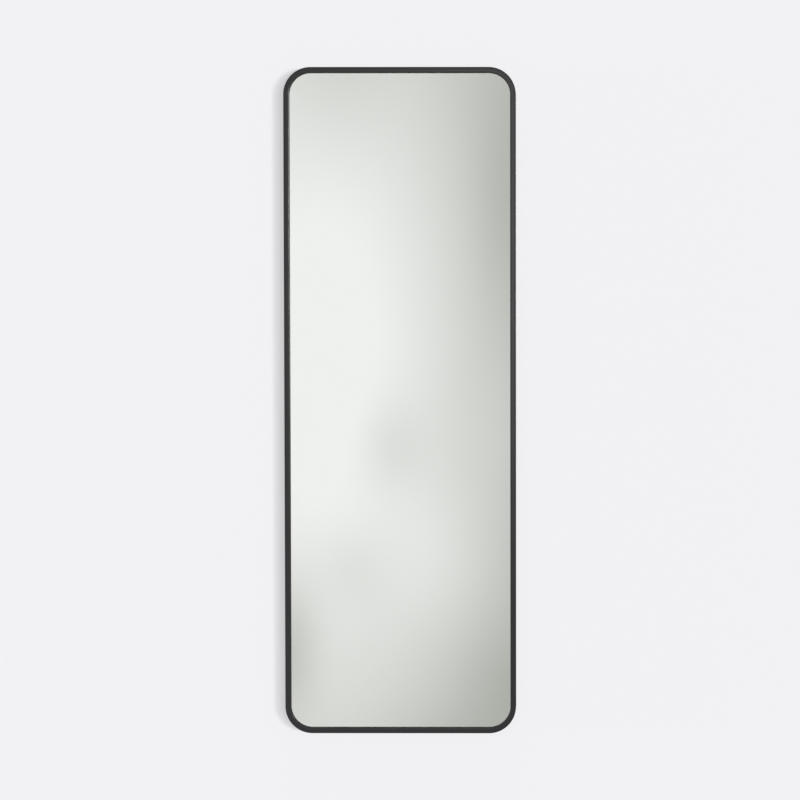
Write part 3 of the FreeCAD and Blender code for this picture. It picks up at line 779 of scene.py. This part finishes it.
pick("faces", lambda face: True)
bisect((fold, 0, 0), (1, 0, 0))
for half_tab in (-TAB_WIDTH / 2, TAB_WIDTH / 2):
    pick("faces", lambda face: face.calc_center_median().x < fold)
    bisect((0, 0, half_tab), (0, 0, 1))
pick("faces", is_tab_top)
push((0, TAB_HEIGHT - BUTTON_SHEET, 0))
pick("edges", is_bent_edge)
bpy.ops.mesh.bevel(offset=TAB_BEND, segments=STAMP_STEPS, affect="EDGES")
pick("edges", lambda edge: runs_along(edge, "X") and middle_of(edge).y > TAB_HEIGHT - TINY)
bpy.ops.mesh.bevel(offset=TAB_CORNER, segments=STAMP_STEPS, affect="EDGES")
button = close()

# %% Drill it and soften its edges
PIVOT_HOLE = 3.66 * MM
HOLE_SIDES = 32
STAMPED_EDGE = 0.15 * MM
STAMPED_ANGLE = 40
STAMPED_SMOOTH = 30


def begin_rod(name, low_y, high_y, radius, sides):
    """A rod along Y through the origin, open in edit mode."""
    size = {"vertices": sides, "radius": radius, "depth": high_y - low_y}
    stand = {"location": (0, (low_y + high_y) / 2, 0), "rotation": (math.pi / 2, 0, 0)}
    return begin(name, bpy.ops.mesh.primitive_cylinder_add, **size, **stand)


def apply_modifier(piece, kind, settings):
    """Adds a modifier to a piece and applies it at once."""
    take_up(piece)
    modifier = piece.modifiers.new(kind.lower(), kind)
    for name, value in settings.items():
        setattr(modifier, name, value)
    bpy.ops.object.modifier_apply(modifier=modifier.name)


def combine(piece, tool, operation):
    """Cuts a tool from a piece or joins it on, and clears the tool away."""
    clear_bench()
    apply_modifier(piece, "BOOLEAN", {"object": tool, "operation": operation, "solver": "EXACT"})
    bpy.data.objects.remove(tool)


drill = begin_rod("pivot_drill", -BUTTON_SHEET, 2 * BUTTON_SHEET, PIVOT_HOLE / 2, HOLE_SIDES)
combine(button, drill, "DIFFERENCE")
rounding = {"width": STAMPED_EDGE, "segments": 2}
rounding.update({"limit_method": "ANGLE", "angle_limit": math.radians(STAMPED_ANGLE)})
apply_modifier(button, "BEVEL", rounding)
smooth(STAMPED_SMOOTH)
print("button of", len(button.data.polygons), "faces")

# %% Set ten buttons
def set_copy(model, name, place, turn):
    """A copy of a model with its own mesh, turned about Y and moved to its place."""
    take_up(model)
    bpy.ops.object.duplicate()
    copy = bpy.context.object
    copy.name = name
    copy.data.name = name
    copy.matrix_world = Matrix.Translation(place) @ Matrix.Rotation(turn, 4, "Y")
    bpy.ops.object.transform_apply(location=True, rotation=True, scale=True)
    return copy


pivots = []
for joint in frame["joints"]:
    if joint["child"].startswith("button_"):
        node = f"turn_{joint['child']}"
        pivot = Vector(joint["pos_m"])
        low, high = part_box(node)
        outwards = (low + high) / 2 - pivot
        copy = set_copy(button, f"{node}_plate", pivot, math.atan2(-outwards.z, outwards.x))
        hand_over(copy, node, "zinc_steel", joint["child"], zinc_plate)
        pivots.append(pivot)
bpy.data.objects.remove(button)
print(len(pivots), "buttons set")

# %% [markdown]
# ## The screws
# The wood screws have a domed pan head with a cross recess and a coarse thread. The head is a rod whose top
# rim is bevelled round. A cross, drawn as a small block with four arms pushed out, cuts the recess. The
# thread is a short zigzag that a Screw modifier winds round the axis. No two screws are driven to the same
# angle, so each copy gets its own turn from a seeded draw.

# %% Turn the head
HEAD_WIDTH = 7 * MM
HEAD_HEIGHT = 2.2 * MM
HEAD_DOME = 1.4 * MM
HEAD_SIDES = 40
DOME_STEPS = 7
CROSS_ARM = 1.3 * MM
CROSS_REACH = 2 * MM
CROSS_DEPTH = 1.5 * MM
CROSS_TAPER = 0.45
FOUR_WAYS = [Vector((1, 0, 0)), Vector((-1, 0, 0)), Vector((0, 0, 1)), Vector((0, 0, -1))]


def is_stub(face, way, arm):
    """Whether a face of the block is still to be pushed out this way."""
    spot = face.calc_center_median()
    return face.normal.dot(way) > HALFWAY and abs(spot.x) + abs(spot.z) < arm + TINY


def cut_cross():
    """A tapered cross that stands in the top of a head."""
    arm = CROSS_ARM / 2
    low = Vector((-arm, HEAD_HEIGHT - CROSS_DEPTH, -arm))
    begin_block("cross", low, Vector((arm, 2 * HEAD_HEIGHT, arm)))
    for way in FOUR_WAYS:
        pick("faces", lambda face: is_stub(face, way, arm))
        push(way * CROSS_REACH)
    pick("verts", lambda vert: vert.co.y < HEAD_HEIGHT)
    bpy.ops.transform.resize(value=(CROSS_TAPER, 1, CROSS_TAPER), center_override=(0, 0, 0))
    return close()


def turn_head(name):
    """A domed head that sits at the origin, with a cross recess in its top."""
    head = begin_rod(name, 0, HEAD_HEIGHT, HEAD_WIDTH / 2, HEAD_SIDES)
    pick("edges", lambda edge: all(vert.co.y > HEAD_HEIGHT - TINY for vert in edge.verts))
    bpy.ops.mesh.bevel(offset=HEAD_DOME, segments=DOME_STEPS, affect="EDGES")
    close()
    combine(head, cut_cross(), "DIFFERENCE")
    return head


print("heads", HEAD_WIDTH / MM, "mm wide and", HEAD_HEIGHT / MM, "mm high")

# %% Wind the thread
SHANK = 3.5 * MM
THREAD_DEPTH = 0.45 * MM
THREAD_PITCH = 1.3 * MM
THREAD_GROOVE = 0.3 * THREAD_PITCH
THREAD_FLANK = 0.35 * THREAD_PITCH
THREAD_SIDES = 24
IN_THE_HEAD = 0.4 * MM
SCREW_SMOOTH = 30


def trim(height, **side):
    """Cuts the open piece off level at a height, closes the cut and drops one side."""
    bpy.ops.mesh.select_all(action="SELECT")
    bpy.ops.mesh.bisect(plane_co=(0, height, 0), plane_no=(0, 1, 0), use_fill=True, **side)


def wind_thread(name, length):
    """A threaded shank from inside the head to its tip, closed at both ends."""
    turns = math.ceil((length + IN_THE_HEAD) / THREAD_PITCH) + 1
    start = (SHANK / 2 - THREAD_DEPTH, -length - THREAD_PITCH, 0)
    shank = begin(name, bpy.ops.mesh.primitive_plane_add, size=MM, location=start)
    bpy.ops.mesh.merge(type="CENTER")
    push((0, THREAD_GROOVE, 0))
    push((THREAD_DEPTH, THREAD_FLANK, 0))
    push((-THREAD_DEPTH, THREAD_FLANK, 0))
    bpy.ops.object.mode_set(mode="OBJECT")
    winding = {"axis": "Y", "screw_offset": THREAD_PITCH, "iterations": turns, "steps": THREAD_SIDES}
    winding.update({"render_steps": THREAD_SIDES, "use_merge_vertices": True, "merge_threshold": TINY})
    apply_modifier(shank, "SCREW", winding)
    bpy.ops.object.mode_set(mode="EDIT")
    bpy.ops.mesh.select_all(action="SELECT")
    bpy.ops.mesh.remove_doubles(threshold=TINY)
    trim(-length, clear_inner=True)
    trim(IN_THE_HEAD, clear_outer=True)
    return close()


def turn_screw(name, length):
    """A wood screw with its seat at the origin and its tip towards the glass."""
    screw = turn_head(name)
    combine(screw, wind_thread("thread", length), "UNION")
    take_up(screw)
    smooth(SCREW_SMOOTH)
    print(name, len(screw.data.polygons), "faces")
    return screw


print("threads", SHANK / MM, "mm thick with a pitch of", THREAD_PITCH / MM, "mm")

# %% Drive the screws
DRAW_SEED = 11
draw = random.Random(DRAW_SEED)


def drive_screws(node, spots):
    """Copies one screw to each spot, turned by chance, and joins them to one piece."""
    low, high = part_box(node)
    seat = high.y - HEAD_HEIGHT
    model = turn_screw(f"{node}_model", seat - low.y)
    copies = []
    for x, z in spots:
        copies.append(set_copy(model, f"{node}_set", (x, seat, z), draw.uniform(0, math.pi / 2)))
    take_up(copies[0])
    for copy in copies:
        copy.select_set(True)
    bpy.ops.object.join()
    bpy.data.objects.remove(model)
    hand_over(copies[0], node, "zinc_steel", "mirror", zinc_plate)
    print(node, "has", len(spots), "screws")


drive_screws("button_screws", [(pivot.x, pivot.z) for pivot in pivots])
strap_low, strap_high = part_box("hanger_screws")
across_straps = [strap_low.x + HEAD_WIDTH / 2, strap_high.x - HEAD_WIDTH / 2]
up_straps = [strap_low.z + HEAD_WIDTH / 2, strap_high.z - HEAD_WIDTH / 2]
drive_screws("hanger_screws", [(x, z) for x in across_straps for z in up_straps])

# %% [markdown]
# ## The wall bumpers
# Four moulded rubber pads keep the rail off the wall. Each is a block with its ends rounded by bevelling the
# upright edges, and its outer rim softened, as rubber leaves a mould.

# %% Mould the bumpers
BUMPER_ENDS = 2.2 * MM
BUMPER_RIM = 0.5 * MM
RIM_STEPS = 5

for node in sorted(name for name in frame["nodes"] if name.startswith("wall_bumper")):
    low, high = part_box(node)
    begin_block(f"{node}_pad", low, high)
    pick("edges", lambda edge: runs_along(edge, "Y"))
    bpy.ops.mesh.bevel(offset=BUMPER_ENDS, segments=STAMP_STEPS, affect="EDGES")
    pick("edges", lambda edge: all(vert.co.y > high.y - TINY for vert in edge.verts))
    bpy.ops.mesh.bevel(offset=BUMPER_RIM, segments=RIM_STEPS, affect="EDGES")
    hand_over(close(), node, "rubber", "mirror", rubber)

# %% [markdown]
# ## The CAD pieces that stay
# The glass, the board, the straps and the pieces inside the rail already have their real form, so they keep
# their CAD meshes and only get their finishes.

# %% Finish the CAD pieces
KEPT = {
    "mirror_glass": float_glass,
    "backing_board": fibreboard,
    "mounting_tape": foam,
    "lip_gasket": foam,
    "splice_bar": mill_aluminium,
    "splice_screws": black_steel,
    "setting_block_left": rubber,
    "setting_block_right": rubber,
    "hanger_strap_left": zinc_plate,
    "hanger_strap_right": zinc_plate,
}
for node, finish in KEPT.items():
    frame["nodes"][node].data.materials.clear()
    frame["nodes"][node].data.materials.append(finish)
print(len(KEPT), "CAD pieces finished")

# %% [markdown]
# ## The studio wall and floor
# The mirror hangs on a pale wall with no corner or seam in sight, as a catalogue shows it. Most of the wall's
# brightness is its own, and the rest comes from the lamps, so it keeps the soft shadow beside the rail. Only
# the camera sees it, and only from the front, so that the back of the mirror can be looked at too. The floor
# lies below the picture and is made the same way.

# %% Mix the studio paint
BACKDROP = (0.8796, 0.8796, 0.8963, 1)
OWN_LIGHT = 0.55


def mix_backdrop():
    """A pale paint, partly bright by itself, that can't be seen from behind."""
    finish = bpy.data.materials.new("studio_paint")
    finish.use_nodes = True
    tree = finish.node_tree
    tree.nodes.clear()
    start = Shade(tree)
    paint = start.node("BsdfDiffuse", None, {"Color": BACKDROP})
    own = start.node("Emission", None, {"Color": BACKDROP})
    front = start.node("MixShader", None, {0: OWN_LIGHT, 1: paint, 2: own})
    behind = start.node("NewGeometry", output="Backfacing")
    clear = start.node("BsdfTransparent")
    surface = start.node("MixShader", None, {0: behind, 1: front, 2: clear})
    tree.links.new(surface.socket, tree.nodes.new("ShaderNodeOutputMaterial").inputs["Surface"])
    return finish


studio_paint = mix_backdrop()
print(studio_paint.name)

# %% Build the wall and the floor
WALL_BEHIND = 0.5 * MM
FLOOR_HEIGHT = -1.05
STUDIO_SIZE = 16


def build_sheet(name, place, turn):
    """A large square that only the camera sees and that throws no shadow."""
    sheet = begin(name, bpy.ops.mesh.primitive_plane_add, size=STUDIO_SIZE, location=place, rotation=turn)
    bpy.ops.object.mode_set(mode="OBJECT")
    sheet.data.materials.append(studio_paint)
    sheet.visible_diffuse = False
    sheet.visible_glossy = False
    sheet.visible_transmission = False
    sheet.visible_shadow = False
    print(name, "faces", *sheet.data.polygons[0].normal)


build_sheet("studio_wall", (0, WALL_BEHIND, FLOOR_HEIGHT + STUDIO_SIZE / 2), (math.pi / 2, 0, 0))
build_sheet("studio_floor", (0, 0, FLOOR_HEIGHT), (0, 0, 0))

# %% [markdown]
# ## The light
# In the studio a broad soft light stands to the right, so the only shadow lies along the left of the rail.
# A fan of five soft suns from the right gives that light evenly all over the wall. A sun straight down lights
# the floor, one from the left the far side, and two from behind the back, none of which reaches the wall's
# face. Together they are at the level at which a colour comes out as it is written.
# Two more lamps draw the shine on the black coat. A soft box far to the right, almost in the plane of the
# mirror, gives the sheen along the left inner edge, and a faint one in front gives the sheen on the right
# rail. Light linking keeps both to the rail, so that they don't stand in the mirror.

# %% Hang the suns
FAN = [10, 24, 36, 43, 47]
FAN_LEVEL = 0.85
SOFT_EDGE = math.radians(8)
OTHER_SUNS = {
    "overhead": ((0, 0, -1), 0.6),
    "from_left": ((1, 0, 0), 0.4),
    "behind_left": ((0.6, -0.75, -0.3), 0.5),
    "behind_right": ((-0.6, -0.75, -0.3), 0.5),
}


def hang_sun(name, towards, level):
    """A soft sun that lights a surface facing it to a share of full brightness."""
    clear_bench()
    bpy.ops.object.light_add(type="SUN")
    sun = bpy.context.object
    sun.name = name
    sun.rotation_euler = Vector(towards).to_track_quat("-Z", "Y").to_euler()
    sun.data.energy = level * math.pi
    sun.data.angle = SOFT_EDGE
    sun.visible_glossy = False
    sun.visible_transmission = False


for degrees in FAN:
    aside = math.radians(degrees)
    share = FAN_LEVEL / len(FAN) / math.cos(aside)
    hang_sun(f"fan_{degrees}", (-math.sin(aside), math.cos(aside), 0), share)
for name, (towards, level) in OTHER_SUNS.items():
    hang_sun(name, towards, level)
print(len(FAN) + len(OTHER_SUNS), "suns")

# %% Stand the lamps for the shine
SIDE_BOX = {"place": (2.72, -0.24, 0.64), "aim": (-0.27, -0.03, 0.4), "size": (0.4, 0.9)}
SIDE_POWER = 9
SIDE_SPREAD = 60
FAINT_BOX = {"place": (0.2, -3.6, 0.55), "aim": (0.27, -0.03, 0.3), "size": (0.5, 1.8)}
FAINT_POWER = 3.5
FAINT_SPREAD = 120
shining = bpy.data.collections.new("shining")
shining.objects.link(rail)


def stand_box(name, power, spread, place, aim, size):
    """A soft box behind a grid that keeps its light in a cone, seen by the gloss of the rail alone."""
    clear_bench()
    bpy.ops.object.light_add(type="AREA", location=place)
    box = bpy.context.object
    box.name = name
    box.rotation_euler = (Vector(aim) - Vector(place)).to_track_quat("-Z", "Y").to_euler()
    box.data.shape = "RECTANGLE"
    box.data.size, box.data.size_y = size
    box.data.energy = power
    box.data.spread = math.radians(spread)
    box.visible_camera = False
    box.visible_diffuse = False
    box.light_linking.receiver_collection = shining
    print(name, "of", power, "W at", *place)


stand_box("side_box", SIDE_POWER, SIDE_SPREAD, **SIDE_BOX)
stand_box("faint_box", FAINT_POWER, FAINT_SPREAD, **FAINT_BOX)

# %% [markdown]
# ## What the mirror sees
# A mirror has no look of its own, so the room in front of it is half of the picture. Here it is a dim studio
# with one large soft glow to the left, two smaller ones low down, and darker shades round them. They are
# painted in the world by direction, for rays that come off gloss or through glass. The camera itself sees the
# plain backdrop, and matt surfaces an even weak light from all round.

# %% Set out the glows
DIM_ROOM = (0.424, 0.428, 0.404, 1)
BRIGHT_ROOM = (0.944, 0.945, 0.95, 1)
AMBIENT = (0.15, 0.15, 0.15, 1)
FAR_LEVEL = 0.4
FAR_START = 0.4
GLOWS = {
    "main glow": (1.1, (-0.126, -0.004), (0.093, 0.238)),
    "low glow": (0.18, (-0.061, -0.112), (0.031, 0.042)),
    "right glow": (0.07, (-0.029, -0.047), (0.02, 0.04)),
    "dark patch": (-0.4, (-0.143, -0.155), (0.016, 0.034)),
    "upper band": (-0.2, (-0.09, -0.05), (0.018, 0.025)),
    "lower band": (-0.13, (-0.11, -0.115), (0.02, 0.022)),
    "upper right shade": (-0.15, (-0.029, 0.08), (0.02, 0.06)),
    "lower right shade": (-0.14, (-0.027, -0.177), (0.03, 0.03)),
    "top shade": (-0.18, (-0.118, 0.15), (0.03, 0.05)),
    "bottom shade": (-0.17, (-0.06, -0.215), (0.042, 0.025)),
}
print(len(GLOWS), "glows and shades")

# %% Paint the room
studio = bpy.data.worlds.new("studio")
bpy.context.scene.world = studio
studio.use_nodes = True
studio.cycles.sampling_method = "NONE"
studio_tree = studio.node_tree
studio_tree.nodes.clear()
direction = Shade(studio_tree).node("TexCoord", output="Generated")
across, _, up = direction.parts()


def hump(strength, centre, spread):
    """A soft spot in the room, by how far it is to the right and up, as a share of the distance."""
    far = ((across - centre[0]) / spread[0]) ** 2 + ((up - centre[1]) / spread[1]) ** 2
    return strength * math.e ** (-1 * far)


from_middle = (across ** 2 + up ** 2) / FAR_START ** 2
glow = FAR_LEVEL * (1 - math.e ** (-1 * from_middle ** 2))
for strength, centre, spread in GLOWS.values():
    glow = glow + hump(strength, centre, spread)
room = glow.blend(DIM_ROOM, BRIGHT_ROOM)
is_camera = direction.node("LightPath", output="Is Camera Ray")
is_diffuse = direction.node("LightPath", output="Is Diffuse Ray")
seen = is_camera.blend(is_diffuse.blend(room, AMBIENT), BACKDROP)
shown = direction.node("Background", None, {"Color": seen})
studio_tree.links.new(shown.socket, studio_tree.nodes.new("ShaderNodeOutputWorld").inputs["Surface"])
print(len(studio_tree.nodes), "nodes in the room")

# %% [markdown]
# ## The camera
# A camera straight in front of a mirror would stand in its own picture. So it stands to the right, level with
# a point just above the middle, and the lens is shifted sideways to bring the mirror back into the frame
# without slanting its edges. That is why the rail's left inner side and a sliver of its right outer side can
# be seen.

# %% Place the camera
CAMERA_PLACE = (0.38, -4.5, 0.1202)
LENS = 83.85
PITCH_DOWN = 1.49
YAW_LEFT = 0.21
SIDEWAYS_SHIFT = -0.1894
LEVEL = 90

clear_bench()
turned = (math.radians(LEVEL - PITCH_DOWN), 0, math.radians(YAW_LEFT))
bpy.ops.object.camera_add(location=CAMERA_PLACE, rotation=turned)
camera = bpy.context.object
camera.name = "camera"
camera.data.lens = LENS
camera.data.shift_x = SIDEWAYS_SHIFT
bpy.context.scene.camera = camera
bpy.context.scene.view_settings.view_transform = "Standard"
print("camera at", CAMERA_PLACE, "with a lens of", LENS, "mm")

# %% [markdown]
# ## The size
# The looks must not change the object's size.
